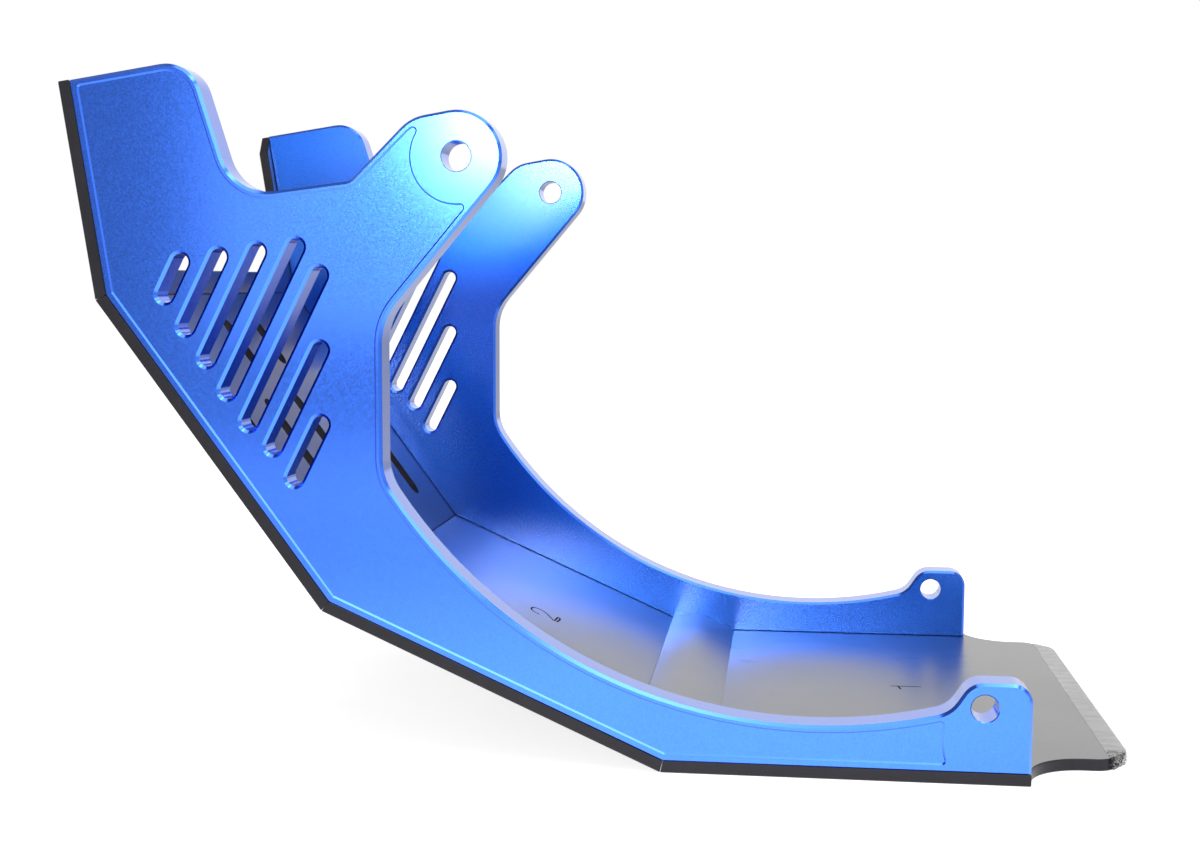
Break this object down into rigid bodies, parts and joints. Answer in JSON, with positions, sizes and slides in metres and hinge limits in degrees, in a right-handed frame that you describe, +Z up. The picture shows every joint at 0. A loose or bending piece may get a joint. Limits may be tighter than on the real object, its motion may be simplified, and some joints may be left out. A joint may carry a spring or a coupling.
{
  "type": "motorcycle skid plate",
  "caption": "Engine guard for a motorcycle: two milled blue side plates with lug bores and slanted slots, joined by flat black panels.",
  "frame": {"origin": "on the axis of the rear lugs' bores, half way between the side plates", "axes": "+X to the motorcycle's rear, +Z up, +Y to its right side"},
  "size_m": [0.4426, 0.27, 0.2873],
  "materials": {
    "blue_anodised": "blue anodised, satin, bead blasted",
    "black_anodised": "black anodised, satin",
    "black_bar": "black anodised, satin",
    "clear_film": "clear film, glossy",
    "screw_steel": "black oxide steel"
  },
  "bodies": {
    "root": {"side_plate_left": "blue_anodised", "side_plate_right": "blue_anodised", "bottom_panel": "black_anodised", "lower_panel": "black_anodised", "front_panel": "black_anodised", "upper_panel": "black_anodised", "cross_bar": "black_bar", "edge_film": "clear_film", "bottom_screws_left": "screw_steel", "bottom_screws_right": "screw_steel", "lower_screws_left": "screw_steel", "lower_screws_right": "screw_steel", "front_screws_left": "screw_steel", "front_screws_right": "screw_steel", "upper_screws_left": "screw_steel", "upper_screws_right": "screw_steel", "bar_screws_bottom": "screw_steel", "bar_screws_lower": "screw_steel"}
  },
  "joints": []
}
